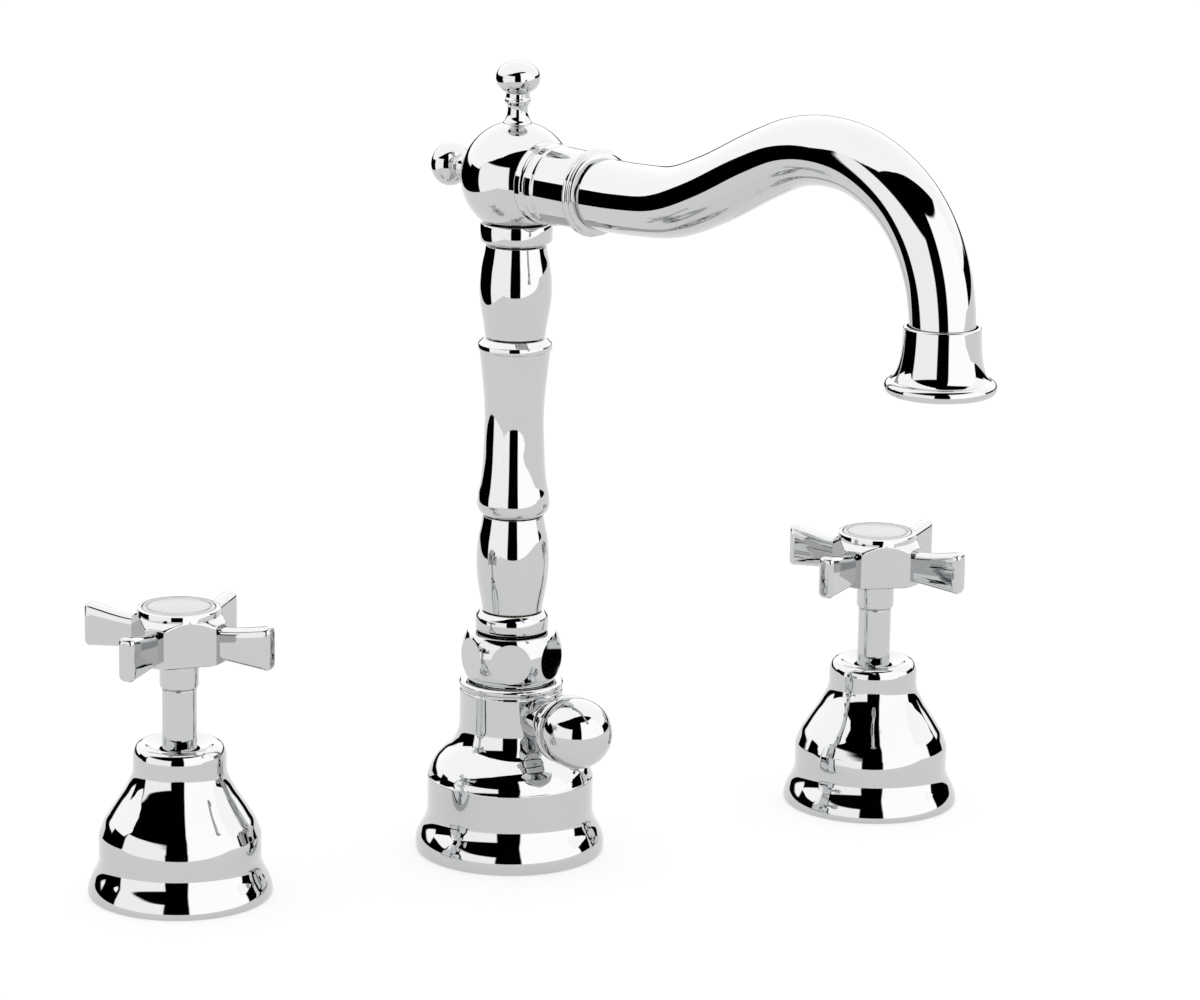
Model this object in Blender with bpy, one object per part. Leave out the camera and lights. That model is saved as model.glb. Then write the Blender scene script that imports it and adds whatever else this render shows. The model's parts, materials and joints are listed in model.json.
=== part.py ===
# Three-hole basin mixer: two cross-handle side valves and a turned swivel spout
# with a pop-up waste knob. Deck plane z = 0, origin under the middle of the spout,
# +X towards the cold valve, -Y towards the person at the basin.
# Every length in this file is in millimetres; MM turns it into Blender's metres.

import bpy
import bmesh
from math import atan2, cos, sin, pi, radians, sqrt
from mathutils import Matrix, Vector

MM = 0.001

# ---- driving dimensions ----
HOT_X = -92.0            # axis of the hot valve
COLD_X = 108.0           # axis of the cold valve
GAP = 0.3                # air between pieces that touch
RUN = 0.45               # air round pieces that turn

DECK = 16.0              # basin ledge that the stands are clamped to
SHANK_END = -50.0        # lower end of the valves' threaded shanks
TAIL_Z = -41.0           # height of the side tail that each hose to the spout fits on
PORT = 4.2               # distance of each waterway from its valve's axis

VALVE_FLANGE = 23.4      # radius of a valve's bell where it meets the deck
VALVE_WAIST = 20.5
VALVE_NECK = 11.8
VALVE_BELL_TOP = 39.7
SLEEVE = 4.4             # radius of the tube between bell and handle
HANDLE_FOOT = 61.7       # underside of the handle's hub
HANDLE_TOP = 74.6
HUB_FLAT = 10.5          # distance of the hub's four flats from its axis
HUB_CORNER = 12.2        # distance of the blunt corners that the arms grow from
ARM_TIP = 26.4           # reach of one arm from the valve's axis
ARM_THICK = 4.4          # at the tip
ARM_ROOT = 3.0           # thickness where an arm leaves the hub
HOT_ARM = 39.0           # direction of the first arm of each handle with the water off
COLD_ARM = 29.5

BASE_FLANGE = 24.6
BASE_WAIST = 21.6
BASE_NECK = 13.4
BASE_TOP = 46.2
POST = 6.3               # fixed post that the spout column turns on
POST_TOP = 84.0
NUT_CENTRE = 53.0
NUT_RADIUS = 13.1
NUT_FLAT = 12.0          # distance of the six flats from the axis
COLLAR_TOP = 64.6        # top of the collar above the swivel nut
GROOVE_LOW = 90.0        # joint between the lower and middle column pieces
GROOVE_HIGH = 136.6      # joint between the middle and upper column pieces
COLUMN_TOP = 160.6
HUB_Z = 177.9            # centre of the ball at the top of the column
HUB_RADIUS = 14.3
SPOUT_AT_REST = -73.0    # direction of the spout, from +X, as it stands
OUTLET_REACH = 147.1
OUTLET_TOP = 163.0
OUTLET_FOOT = 147.0

KNOB_ANGLE = -82.0       # direction of the waste knob, from +X
KNOB_Z = 39.0
KNOB_REACH = 30.8
KNOB_RADIUS = 9.1
CRANK = 5.0              # throw of the crank behind the knob
CRANK_REST = -35.0       # crank angle below level with the waste shut
CRANK_PLANE = 6.4        # distance of the crank plate from the spout's axis
ROD_END = -72.0          # lower end of the pull rod


# ---- materials ----

def finish(name, colour, metallic, roughness):
    material = bpy.data.materials.new(name)
    material.use_nodes = True
    shader = material.node_tree.nodes["Principled BSDF"]
    shader.inputs["Base Color"].default_value = (*colour, 1.0)
    shader.inputs["Metallic"].default_value = metallic
    shader.inputs["Roughness"].default_value = roughness
    return material


# ---- outlines: lists of (radius, height) ----

def arc(radius_at, height_at, radius, start, end, count):
    """Points on a circular arc, angles in degrees from the +radius direction."""
    turns = [radians(start + (end - start) * i / count) for i in range(count + 1)]
    return [(radius_at + radius * cos(a), height_at + radius * sin(a)) for a in turns]


def flowing(points, spans=2):
    """A smooth curve through the points, with extra points in every span."""
    ends = [points[0]] + list(points) + [points[-1]]
    curve = []
    for a, b, c, d in zip(ends, ends[1:], ends[2:], ends[3:]):
        for i in range(spans):
            t = i / spans
            curve.append(tuple(
                0.5 * (2 * q + (r - p) * t + (2 * p - 5 * q + 4 * r - s) * t ** 2
                       + (3 * q - p - 3 * r + s) * t ** 3)
                for p, q, r, s in zip(a, b, c, d)))
    return curve + [tuple(points[-1])]


# ---- building blocks ----

def as_object(name, bm, material, parent=None, at=(0, 0, 0), tilt=(0, 0, 0)):
    """Turn a bmesh into a named object; tilt is in degrees."""
    bmesh.ops.remove_doubles(bm, verts=bm.verts, dist=1e-7)
    bmesh.ops.recalc_face_normals(bm, faces=bm.faces)
    mesh = bpy.data.meshes.new(name)
    bm.to_mesh(mesh)
    bm.free()
    mesh.materials.append(material)
    mesh.shade_smooth()
    mesh.set_sharp_from_angle(angle=radians(30))
    piece = bpy.data.objects.new(name, mesh)
    bpy.context.collection.objects.link(piece)
    piece.location = Vector(at) * MM
    piece.rotation_euler = [radians(a) for a in tilt]
    piece.parent = parent
    return piece


def revolve(outline, steps):
    """Spin a closed outline, or one that starts and ends on the axis, about Z."""
    bm = bmesh.new()
    verts = [bm.verts.new((r * MM, 0, z * MM)) for r, z in outline]
    edges = [bm.edges.new(pair) for pair in zip(verts, verts[1:])]
    if outline[0][0] > 0 or outline[-1][0] > 0:
        edges.append(bm.edges.new((verts[-1], verts[0])))
    bmesh.ops.spin(bm, geom=verts + edges, cent=(0, 0, 0), axis=(0, 0, 1),
                   angle=2 * pi, steps=steps, use_merge=True)
    return bm


def turned(name, outline, material, parent=None, at=(0, 0, 0), tilt=(0, 0, 0), steps=12):
    return as_object(name, revolve(outline, steps), material, parent, at, tilt)


def ring(name, inner, outer, low, high, material, parent=None, at=(0, 0, 0)):
    """A plain washer, tube or bush."""
    outline = [(inner, low), (outer, low), (outer, high), (inner, high)]
    return turned(name, outline, material, parent, at, steps=14)


def seal(name, middle, thick, height, material, parent=None):
    """An O-ring: its middle radius and the radius of its section."""
    return turned(name, arc(middle, height, thick, 0, 270, 3), material, parent)


def hex_nut(name, flats, bore, low, high, material, at=(0, 0, 0), parent=None):
    """A six-sided ring, flats wide across its flats."""
    bm = revolve([(bore, low), (flats, low), (flats, high), (bore, high)], 24)
    for vert in bm.verts:
        flat = Vector((vert.co.x, vert.co.y))
        if flat.length > (bore + 0.5) * MM:
            off_centre = (flat.angle_signed(Vector((1, 0))) % (pi / 3)) - pi / 6
            wanted = flats / 2 / cos(off_centre) * MM
            vert.co.x, vert.co.y = flat.normalized() * wanted
    return as_object(name, bm, material, parent, at)


def empty(name, at=(0, 0, 0), tilt=(0, 0, 0), parent=None):
    """A frame for the pieces that move together, on their joint's axis."""
    holder = bpy.data.objects.new(name, None)
    bpy.context.collection.objects.link(holder)
    holder.location = Vector(at) * MM
    holder.rotation_euler = [radians(a) for a in tilt]
    holder.parent = parent
    return holder


def boolean(piece, tool, operation):
    """Join or cut with a tool object, which stays in the file as a wire guide."""
    tool.hide_render = True
    tool.display_type = "WIRE"
    modifier = piece.modifiers.new(tool.name, "BOOLEAN")
    modifier.operation = operation
    modifier.object = tool


def sweep(bm, face, offset):
    """Extrude one face along an offset in millimetres."""
    swept = bmesh.ops.extrude_face_region(bm, geom=[face])["geom"]
    moved = [v for v in swept if isinstance(v, bmesh.types.BMVert)]
    bmesh.ops.translate(bm, verts=moved, vec=Vector(offset) * MM)
    return bm


def slab(outline, thick):
    """A plate in the XZ plane, thick along Y, from an (x, z) outline."""
    bm = bmesh.new()
    face = bm.faces.new([bm.verts.new((x * MM, -thick / 2 * MM, z * MM)) for x, z in outline])
    return sweep(bm, face, (0, thick, 0))


def plate(rim, near, far):
    """A plate across the X axis, from x = near to x = far, with its rim in the YZ plane."""
    bm = bmesh.new()
    face = bm.faces.new([bm.verts.new((near * MM, p.y * MM, p.z * MM)) for p in rim])
    return sweep(bm, face, (far - near, 0, 0))


# ---- one side valve ----

def bell_outline(flange, waist, rows, top):
    """Outer line of a bell from the deck up: moulded flange, waist, shoulder, neck."""
    foot = [(flange - 1.0, 0.0)] + arc(flange - 1.4, 2.6, 1.4, -30, 40, 2)
    return foot + flowing([(waist + 1.3, 6.4), (waist + 0.1, 8.6)], 1) + rows + top


def valve_bell(side, x, chrome):
    shoulder = flowing([(19.8, 17.9), (18.9, 19.9), (15.65, 24.9), (12.55, 30.4), (VALVE_NECK, 33.0)], 2)
    lip = arc(VALVE_NECK - 2.2, VALVE_BELL_TOP - 2.2, 2.2, 0, 90, 2)
    outside = bell_outline(VALVE_FLANGE, VALVE_WAIST, [(VALVE_WAIST, 16.4)] + shoulder, lip)
    inside = [(SLEEVE + RUN + 0.2, VALVE_BELL_TOP), (SLEEVE + RUN + 0.2, VALVE_BELL_TOP - 2.6), (9.4, 36.6),
              (9.4, 30.5), (17.4, 16.0), (17.4, 0.0)]
    turned(side + "_bell", outside + inside, chrome, at=(x, 0, 0), steps=16)


def valve_works(side, x, inward, brass, steel, ceramic, rubber):
    """What the bell hides: the body through the deck, the headwork and its fixed disc."""
    body = turned(side + "_valve_body",
                  [(0, SHANK_END), (10.2, SHANK_END), (10.2, 0.3), (15.6, 0.3), (15.6, 3.4), (12.6, 3.4),
                   (12.6, 19.6), (9.6, 19.6), (9.6, 5.8), (0, 5.8)], brass, at=(x, 0, 0), steps=16)
    # a tail square to the shank, for the hose that feeds the spout
    boolean(body, turned(side + "_tail_guide", [(0, 8), (0, 24), (6.2, 24), (6.2, 8)], brass,
                         at=(x, 0, TAIL_Z), tilt=(0, 90 * inward, 0)), "UNION")
    # supply water rises on one side of the shank and leaves down the other, into the tail
    for name, across, low, high, bore in (("supply_drill", -PORT, SHANK_END - 2, 8, 2.7),
                                          ("return_drill", PORT, TAIL_Z, 8, 2.5)):
        boolean(body, turned(f"{side}_{name}", [(0, low), (bore, low), (bore, high), (0, high)], brass,
                             at=(x + across * inward, 0, 0)), "DIFFERENCE")
    boolean(body, turned(side + "_tail_drill", [(0, PORT - 1), (0, 26), (2.4, 26), (2.4, PORT - 1)], brass,
                         at=(x, 0, TAIL_Z), tilt=(0, 90 * inward, 0)), "DIFFERENCE")
    turned(side + "_headwork",
           [(9.2, 6.2), (9.2, 19.9), (11.4, 19.9), (11.4, 25.6), (7.2, 25.6), (7.2, 36.2), (4.4, 36.2),
            (4.4, 14.4), (7.4, 14.4), (7.4, 6.2)], brass, at=(x, 0, 0))
    disc = turned(side + "_fixed_disc", [(0, 6.6), (7.0, 6.6), (7.0, 9.0), (0, 9.0)], ceramic, at=(x, 0, 0))
    for number, across in enumerate((-PORT, PORT)):
        port = turned(f"{side}_port_guide_{number}", [(0, 5), (2.0, 5), (2.0, 11), (0, 11)], ceramic,
                      at=(x + across, 0, 0), steps=8)
        boolean(disc, port, "DIFFERENCE")
    ring(side + "_rubber_washer", 10.6, 19.0, -DECK - GAP - 3.0, -DECK - GAP, rubber, at=(x, 0, 0))
    ring(side + "_steel_washer", 10.6, 18.0, -DECK - 5.1, -DECK - 3.6, steel, at=(x, 0, 0))
    hex_nut(side + "_backnut", 29.0, 10.6, -DECK - 13.9, -DECK - 5.4, brass, at=(x, 0, 0))


def handle_arm():
    """Outline of two opposite arms, flared and rounded at the tips, in (x, z)."""
    half = ([(0, 70.9), (8.0, 70.9)] + flowing([(14.0, 71.3), (20.0, 72.1), (ARM_TIP - 1.9, 73.0)], 1)
            + arc(ARM_TIP - 2.0, 71.0, 2.0, 60, 0, 1) + arc(ARM_TIP - 2.0, 63.9, 2.0, 0, -90, 2)
            + [(20.0, 62.3), (14.0, 62.9), (8.0, 63.0), (0, 63.0)])
    other = [(-r, z) for r, z in reversed(half) if r > 0]
    return half + other


def hub_block():
    """Eight-sided block whose corners run out in a cone under a round rim."""
    edge = atan2(HUB_CORNER * sqrt(2) - HUB_FLAT, HUB_FLAT)
    quarter = [(i * edge / 3, HUB_FLAT / cos(i * edge / 3)) for i in range(4)] + [(pi / 4, HUB_CORNER)]
    quarter += [(pi / 2 - turn, reach) for turn, reach in reversed(quarter[1:4])]
    around = [(turn + side * pi / 2, reach) for side in range(4) for turn, reach in quarter]
    rows = ((HANDLE_FOOT, 15.0), (71.7, 15.0), (72.4, 11.4), (73.0, 10.7), (HANDLE_TOP, HUB_FLAT - 0.1))
    bm = bmesh.new()
    layers = [[bm.verts.new((min(reach, limit) * cos(turn) * MM, min(reach, limit) * sin(turn) * MM, z * MM))
               for turn, reach in around] for z, limit in rows]
    for low, high in zip(layers, layers[1:]):
        for i in range(len(around)):
            j = (i + 1) % len(around)
            bm.faces.new((low[i], low[j], high[j], high[i]))
    bm.faces.new(layers[0])
    bm.faces.new(layers[-1])
    return bm


def cross_handle(side, first_arm, turns, chrome):
    hub = as_object(side + "_cross_handle", hub_block(), chrome, turns, tilt=(0, 0, first_arm + 45))
    for number in (0, 1):
        bm = slab(handle_arm(), ARM_THICK)
        bmesh.ops.bisect_plane(bm, geom=bm.verts[:] + bm.edges[:] + bm.faces[:],
                               plane_co=(0, 0, 0), plane_no=(1, 0, 0))
        for vert in bm.verts:  # thinner towards the hub
            vert.co.y *= (ARM_ROOT + (ARM_THICK - ARM_ROOT) * abs(vert.co.x) / MM / ARM_TIP) / ARM_THICK
        arms = as_object(f"{side}_arm_guide_{number}", bm, chrome, turns, tilt=(0, 0, first_arm + 90 * number))
        boolean(hub, arms, "UNION")
    well = turned(side + "_well_guide",
                  [(0, 60), (3.45, 60), (3.45, 70.2), (1.9, 70.2), (1.9, 71.2), (4.7, 71.2), (4.7, 73.4),
                   (9.4, 73.4), (9.4, 76), (0, 76)], chrome, parent=turns, steps=16)
    boolean(hub, well, "DIFFERENCE")


def valve_turning(side, first_arm, turns, chrome, brass, steel, ceramic, rubber, enamel):
    """Spindle, moving disc, sleeve, cross handle, screw and index cap."""
    disc = turned(side + "_moving_disc", [(0, 9.3), (6.9, 9.3), (6.9, 11.3), (0, 11.3)], ceramic, parent=turns)
    for number, across in enumerate((-PORT, PORT)):
        port = turned(f"{side}_turning_port_guide_{number}", [(0, 8), (2.0, 8), (2.0, 12), (0, 12)], ceramic,
                      parent=turns, at=(0, across, 0), steps=8)
        boolean(disc, port, "DIFFERENCE")
    turned(side + "_spindle",
           [(0, 11.6), (6.8, 11.6), (6.8, 13.6), (3.9, 13.6), (3.9, 29.0), (3.0, 29.0), (3.0, 31.4), (3.9, 31.4),
            (3.9, 36.0), (3.0, 36.8), (3.0, 69.8), (1.7, 69.8), (1.7, 61.0), (0, 61.0)],
           brass, parent=turns)
    seal(side + "_spindle_seal", 3.62, 0.32, 30.2, rubber, parent=turns)
    turned(side + "_stem_sleeve",
           [(3.4, 36.9), (SLEEVE, 36.9), (SLEEVE, 53.8), (SLEEVE + 0.6, 54.6), (SLEEVE + 0.6, HANDLE_FOOT - GAP),
            (3.4, HANDLE_FOOT - GAP)], chrome, parent=turns)
    cross_handle(side, first_arm, turns, chrome)
    turned(side + "_handle_screw", [(0, 62.0), (1.35, 62.0), (1.35, 71.5), (4.1, 71.5), (4.1, 72.4), (3.0, 73.1),
                                    (0, 73.1)], steel, parent=turns, steps=12)
    turned(side + "_index_cap", [(0, 73.7), (9.05, 73.7), (9.05, 74.9), (8.2, 75.3), (0, 75.6)],
           enamel, parent=turns, steps=16)


# ---- spout stand: the pieces that stay still ----

def spout_base(chrome):
    shoulder = flowing([(BASE_WAIST, 21.6), (21.2, 23.6), (17.6, 28.3), (14.5, 31.6), (BASE_NECK, 35.0)], 2)
    rim = [(BASE_NECK, 44.6), (BASE_NECK - 0.7, BASE_TOP), (10.6, BASE_TOP), (10.6, 52.4)]
    outside = bell_outline(BASE_FLANGE, BASE_WAIST, shoulder, rim)
    inside = [(8.9, 52.4), (8.9, 45.9), (4.7, 45.9), (4.7, 44.7), (10.7, 44.7), (10.7, 30.0), (18.4, 20.0),
              (18.4, 0.0)]
    base = turned("spout_base", outside + inside, chrome, steps=16)
    boss = turned("boss_guide", [(0, 11.6), (0, 18.6), (5.3, 18.6), (5.3, 11.6)], chrome,
                  at=(0, 0, KNOB_Z), tilt=(0, 90, KNOB_ANGLE), steps=16)
    drill = turned("boss_drill", [(0, 8.0), (0, 20.0), (4.1, 20.0), (4.1, 8.0)], chrome,
                   at=(0, 0, KNOB_Z), tilt=(0, 90, KNOB_ANGLE), steps=16)
    boolean(base, boss, "UNION")
    boolean(base, drill, "DIFFERENCE")


def swivel_nut(chrome):
    """A barrel nut whose six flats are round, because its sides are part of a sphere."""
    half = radians(28.5)
    side = [(NUT_RADIUS * cos(a), NUT_CENTRE + NUT_RADIUS * sin(a))
            for a in [half * (i / 3 - 1) for i in range(7)]]
    bm = revolve(side + [(8.0, side[-1][1]), (8.0, 53.5), (10.95, 53.5), (10.95, side[0][1])], 24)
    for number in range(6):
        out = Vector((cos(radians(60 * number + 4)), sin(radians(60 * number + 4)), 0))
        cut = bmesh.ops.bisect_plane(bm, geom=bm.verts[:] + bm.edges[:] + bm.faces[:],
                                     plane_co=out * NUT_FLAT * MM, plane_no=out, clear_outer=True)
        rim = [e for e in cut["geom_cut"] if isinstance(e, bmesh.types.BMEdge)]
        bmesh.ops.edgeloop_fill(bm, edges=rim)
    as_object("swivel_nut", bm, chrome)


def spout_fixings(chrome, brass, steel, nylon, rubber):
    """The post, the shank and the clamp below the deck, and the mixing tee."""
    turned("swivel_post",
           [(4.3, 47.9), (4.3, 46.2), (8.6, 46.2), (8.6, 48.3), (POST, 48.3), (POST, 70.0), (POST - 1.1, 70.0),
            (POST - 1.1, 72.0), (POST, 72.0), (POST, 77.0), (POST - 1.1, 77.0), (POST - 1.1, 79.0), (POST, 79.0),
            (POST, POST_TOP), (4.3, POST_TOP)], brass)
    ring("friction_ring", POST + GAP, 8.5, 48.6, 49.7, nylon)
    ring("water_riser", 2.9, 4.0, -52.0, 60.0, brass)
    turned("spout_shank", [(11.0, -40.0), (13.8, -40.0), (13.8, -0.3), (15.0, -0.3), (15.0, 2.6), (18.0, 2.6),
                           (18.0, 6.0), (11.0, 6.0)], brass)
    ring("base_seal", 15.8, 18.0, 0.3, 2.3, rubber)
    ring("spout_rubber_washer", 14.2, 23.0, -DECK - GAP - 3.0, -DECK - GAP, rubber)
    ring("spout_steel_washer", 14.2, 22.0, -DECK - 5.1, -DECK - 3.6, steel)
    hex_nut("spout_backnut", 36.0, 14.2, -DECK - 13.9, -DECK - 5.4, brass)
    tee = turned("mixing_tee", [(0, -62), (0, -68), (7.0, -68), (7.0, -46), (4.3, -46), (4.3, -53), (2.9, -53),
                                (2.9, -62)], brass)
    arm = turned("tee_guide", [(0, -19), (4.4, -19), (4.4, 19), (0, 19)], brass, at=(0, 0, -60), tilt=(0, 90, 0),
                 steps=12)
    drill = turned("tee_drill", [(0, -21), (2.7, -21), (2.7, 21), (0, 21)], brass, at=(0, 0, -60),
                   tilt=(0, 90, 0), steps=12)
    boolean(tee, arm, "UNION")
    boolean(tee, drill, "DIFFERENCE")


# ---- pop-up waste control ----

def waste_control(chrome, brass):
    """Knob, its gland in the base, the crank inside and the rod that it lifts."""
    sideways = (0, 90, KNOB_ANGLE)
    turned("knob_gland", [(2.95, 11.2), (3.8, 11.2), (3.8, 18.9), (5.1, 18.9), (5.1, 21.4), (4.5, 22.0),
                          (2.95, 22.0)], chrome, at=(0, 0, KNOB_Z), tilt=sideways)
    turns = empty("knob_turns", at=(0, 0, KNOB_Z), tilt=(0, 0, KNOB_ANGLE))
    outward = (0, 90, 0)
    collar = KNOB_REACH - 5.2
    ball = arc(0, KNOB_REACH, KNOB_RADIUS, -52, 90, 6)
    ball[-1] = (0, KNOB_REACH + KNOB_RADIUS)
    turned("waste_knob", [(0, 23.6), (2.6, 23.6), (2.6, 22.5), (4.6, 22.5), (7.6, collar - 1.2),
                          (KNOB_RADIUS - 0.1, collar - 0.5), (KNOB_RADIUS - 0.1, collar + 0.9),
                          (6.0, collar + 1.5)] + ball,
           chrome, parent=turns, tilt=outward)
    spindle = turned("knob_spindle",
                     [(0, CRANK_PLANE), (2.5, CRANK_PLANE), (2.5, 22.2), (2.3, 22.2), (2.3, 23.3), (0, 23.3)],
                     brass, parent=turns, tilt=outward, steps=16)
    # the crank: a round-ended plate, and a pin on it that points at the spout's axis
    along = Vector((0, -cos(radians(CRANK_REST)), sin(radians(CRANK_REST)))) * CRANK
    across = along.cross(Vector((1, 0, 0))).normalized() * 1.5
    bends = [Matrix.Rotation(radians(-30 * i), 3, "X") @ across for i in range(7)]
    rim = bends + [along - bend for bend in bends]
    arm = as_object("crank_guide", plate(rim, CRANK_PLANE, CRANK_PLANE + 1.3), brass, turns)
    pin = turned("crank_pin_guide", [(0, 4.5), (0.85, 4.5), (0.85, CRANK_PLANE + 0.6), (0, CRANK_PLANE + 0.6)],
                 brass, parent=turns, at=along, tilt=outward, steps=12)
    boolean(spindle, arm, "UNION")
    boolean(spindle, pin, "UNION")
    # the rod: a fork round the pin, and a long stem that leaves through the shank
    slides = empty("rod_slides", at=(0, 0, KNOB_Z), tilt=(0, 0, KNOB_ANGLE))
    slot = 0.85 + 0.4
    jaw = slot + 1.1
    fork = [(-2.9, slot), (-2.9, jaw), (-7.8, jaw), (-7.8, -jaw), (-2.9, -jaw), (-2.9, -slot), (-6.3, -slot),
            (-6.3, slot)]
    middle = CRANK_PLANE - 1.3
    rod = as_object("pull_rod", plate([Vector((0, y, along.z + z)) for y, z in fork], middle - 0.75, middle + 0.75),
                    brass, slides)
    stem = turned("rod_guide", [(0, ROD_END - KNOB_Z), (1.0, ROD_END - KNOB_Z), (1.0, along.z - slot - 0.6),
                                (0, along.z - slot - 0.6)],
                  brass, parent=slides, at=(middle, -7.0, 0), steps=10)
    boolean(rod, stem, "UNION")


# ---- the turning column and spout, built with the spout along +X ----

def column(turns, chrome, nylon, rubber):
    bore = POST + RUN
    for number, height in ((1, 71.0), (2, 78.0)):
        seal(f"post_seal_{number}", POST - 0.35, 0.42, height, rubber)
    turned("column_foot",
           [(bore, 50.0), (8.55, 50.0), (8.55, 53.1), (7.5, 53.1), (7.5, 59.7), (9.45, 59.7), (9.45, 63.2),
            (8.9, COLLAR_TOP), (bore, COLLAR_TOP)], chrome, parent=turns)
    low = flowing([(7.9, COLLAR_TOP + GAP), (8.7, 69.6), (9.35, 77.6), (8.6, 85.6), (7.8, GROOVE_LOW)], 2)
    turned("lower_baluster", low + [(bore, GROOVE_LOW), (bore, COLLAR_TOP + GAP)], chrome, parent=turns)
    waist = flowing([(9.3, 93.6), (8.7, 97.6), (7.9, 107.0), (7.6, 115.0), (8.1, 124.0), (9.1, 132.8)], 2)
    turned("waisted_column",
           [(7.9, GROOVE_LOW + GAP), (8.9, 91.4)] + waist
           + [(9.55, 133.6), (9.55, 135.0), (8.0, GROOVE_HIGH), (4.9, GROOVE_HIGH), (4.9, GROOVE_LOW + GAP)],
           chrome, parent=turns)
    top = flowing([(7.8, GROOVE_HIGH + GAP), (8.55, 141.8), (9.3, 149.0), (8.8, 155.4), (7.75, COLUMN_TOP)], 2)
    turned("upper_baluster", top + [(4.9, COLUMN_TOP), (4.9, GROOVE_HIGH + GAP)], chrome, parent=turns)
    turned("top_collar",
           [(4.9, COLUMN_TOP + GAP), (7.8, COLUMN_TOP + GAP), (9.25, 161.8), (9.25, 166.4), (4.9, 166.4)],
           chrome, parent=turns)
    turned("column_tube", [(3.4, GROOVE_LOW - 5.0), (6.0, GROOVE_LOW - 5.0), (6.0, GROOVE_LOW + GAP - 0.6),
                           (4.5, GROOVE_LOW + GAP), (4.5, 170.0), (3.4, 170.0)], nylon, parent=turns)


def hub(turns, chrome):
    """The hollow ball that turns the water from the column into the spout."""
    foot = -48.0
    low = HUB_Z + HUB_RADIUS * sin(radians(foot))
    ball = turned("hub_ball",
                  [(0, low)] + arc(0, HUB_Z, HUB_RADIUS, foot, 66, 7) + [(0, HUB_Z + HUB_RADIUS - 1.3)],
                  chrome, parent=turns, steps=16)
    well = turned("hub_well_guide",
                  [(0, low - 5), (4.9, low - 5), (4.9, 171.4)] + arc(0, HUB_Z, 9.0, -40, 60, 4)
                  + [(2.1, 187.0), (2.1, 200.0), (0, 200.0)], chrome, parent=turns, steps=12)
    boolean(ball, well, "DIFFERENCE")
    # the mouth for the spout and the hole for the back finial, each with a flat seat
    for name, seat, wide, bore, side in (("mouth", 9.4, 12.6, 7.5, 1), ("back", 12.9, 6.6, 2.1, -1)):
        drill = turned(name + "_guide", [(0, 4.3), (bore, 4.3), (bore, seat), (wide, seat), (wide, 22), (0, 22)],
                       chrome, parent=turns, at=(0, 0, HUB_Z), tilt=(0, 90 * side, 0), steps=14)
        boolean(ball, drill, "DIFFERENCE")


def finial(name, seat, turns, chrome, at, tilt):
    """A small turned knob on a waisted stem, with a spigot that screws into the ball."""
    head = [(5.65 * cos(radians(a)), 25.3 + 4.4 * sin(radians(a))) for a in (-50, -20, 10, 40, 65)]
    turned(name,
           [(0, seat - 3.4), (1.6, seat - 3.4), (1.6, seat + GAP), (3.6, seat + GAP), (3.4, seat + 1.2),
            (2.6, 17.0), (2.9, 18.6), (3.3, 19.6), (2.9, 20.4)] + head + [(0, 29.7)],
           chrome, parent=turns, at=at, tilt=tilt)


def spout_route():
    """Middle line of the spout tube in its own upright plane, (reach, height)."""
    return [(31.7, 177.8), (57.7, 179.4), (77.6, 187.7), (107.7, 198.6), (133.6, 191.3), (144.6, 177.9),
            (OUTLET_REACH, 167.0), (OUTLET_REACH, OUTLET_TOP - 6.0)]


def spout_tube(turns, chrome):
    """A bent, slightly tapered tube: rings along the route, bridged outside and inside."""
    route = flowing(spout_route(), 2)
    bm = bmesh.new()
    sides, layers = 12, []
    for number, here in enumerate(route):
        before, after = route[max(number - 1, 0)], route[min(number + 1, len(route) - 1)]
        ahead = Vector((after[0] - before[0], 0, after[1] - before[1])).normalized()
        up = Vector((-ahead.z, 0, ahead.x))
        outer = 8.9 - 1.0 * number / (len(route) - 1)
        middle = Vector((here[0], 0, here[1]))
        layers.append([[bm.verts.new((middle + (up * cos(a) + Vector((0, 1, 0)) * sin(a)) * radius) * MM)
                        for a in [2 * pi * i / sides for i in range(sides)]] for radius in (outer, outer - 1.6)])
    for first, second in zip(layers, layers[1:]):
        for wall in (0, 1):
            for i in range(sides):
                j = (i + 1) % sides
                bm.faces.new((first[wall][i], first[wall][j], second[wall][j], second[wall][i]))
    for end in (layers[0], layers[-1]):
        for i in range(sides):
            j = (i + 1) % sides
            bm.faces.new((end[0][i], end[0][j], end[1][j], end[1][i]))
    as_object("spout_tube", bm, chrome, turns)


def spout(turns, chrome, rubber):
    along, centre = (0, 90, 0), (0, 0, HUB_Z)
    turned("spout_union",
           [(7.0, 9.7), (10.4, 9.7), (10.4, 12.4), (9.6, 13.0), (9.6, 13.6), (10.3, 14.1), (10.3, 16.2),
            (9.9, 16.8), (9.9, 28.0), (7.0, 28.0)], chrome, parent=turns, at=centre, tilt=along, steps=16)
    turned("spout_flange_ring",
           [(7.0, 28.3), (10.6, 28.3), (11.2, 28.9), (11.0, 29.5), (10.4, 30.0), (10.65, 30.6), (10.3, 31.2),
            (7.0, 31.4)], chrome, parent=turns, at=centre, tilt=along, steps=16)
    spout_tube(turns, chrome)
    outlet = (OUTLET_REACH, 0, 0)
    bead = arc(11.6, OUTLET_FOOT + 1.7, 1.7, -90, 70, 4)
    flare = flowing([(10.8, 152.0), (9.5, 156.6), (8.9, OUTLET_TOP)], 2)
    turned("outlet_bell",
           bead + flare + [(8.3, OUTLET_TOP), (8.3, 156.9), (9.4, 156.6), (9.4, OUTLET_FOOT)],
           chrome, parent=turns, at=outlet, steps=16)
    turned("aerator", [(0, 149.2), (7.2, 149.2), (7.2, 147.6), (9.0, 147.6), (9.0, 154.6), (0, 154.6)],
           chrome, parent=turns, at=outlet)
    ring("aerator_seal", 5.8, 8.9, 154.9, 156.2, rubber, parent=turns, at=outlet)


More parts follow.
